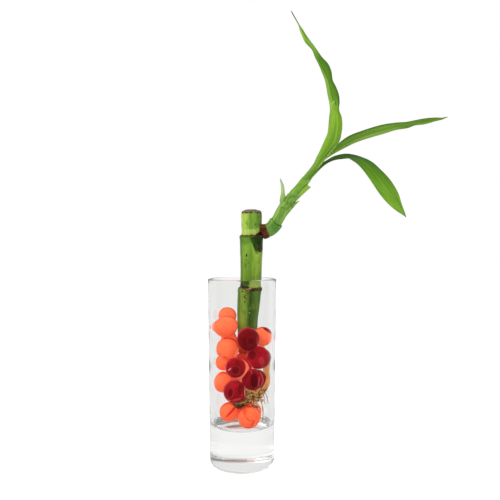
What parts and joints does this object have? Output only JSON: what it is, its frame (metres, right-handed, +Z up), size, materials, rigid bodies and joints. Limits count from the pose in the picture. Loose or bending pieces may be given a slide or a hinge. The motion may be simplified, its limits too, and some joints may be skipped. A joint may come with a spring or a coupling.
{
  "type": "lucky bamboo in a glass of gel beads",
  "caption": "Short cut cane of lucky bamboo with one leafy side shoot, rooted among coloured gel beads in a tall, straight glass with a heavy base.",
  "frame": {"origin": "centre of the flat foot of the glass", "axes": "+Z up along the glass, +X towards the side the shoot leans to, -Y towards the viewer of the picture"},
  "size_m": [0.1447, 0.0507, 0.2489],
  "materials": {
    "glass": "clear pressed soda-lime glass, fire-polished",
    "cane": "smooth green living bark, satin, with brown node scars",
    "bud_scale": "dry red-brown papery scale, matt",
    "shoot": "soft green leaf sheaths, satin",
    "leaf": "living leaf with fine parallel veins, satin",
    "bead_orange": "clear orange hydrogel, wet",
    "bead_crimson": "clear crimson hydrogel, wet",
    "root": "tan root skin, matt"
  },
  "bodies": {
    "root": {"glass": "glass", "cane": "cane", "bud_collar": "bud_scale", "side_shoot": "shoot", "leaf_upright": "leaf", "leaf_spreading": "leaf", "leaf_arching": "leaf", "roots": "root", "bead_01": "bead_orange", "bead_02": "bead_orange", "bead_03": "bead_crimson", "bead_04": "bead_orange", "bead_05": "bead_orange", "bead_06": "bead_orange", "bead_07": "bead_crimson", "bead_08": "bead_orange", "bead_09": "bead_orange", "bead_10": "bead_crimson", "bead_11": "bead_crimson", "bead_12": "bead_crimson", "bead_13": "bead_orange", "bead_14": "bead_crimson", "bead_15": "bead_orange", "bead_16": "bead_orange", "bead_17": "bead_orange", "bead_18": "bead_orange", "bead_19": "bead_orange", "bead_20": "bead_crimson"}
  },
  "joints": []
}
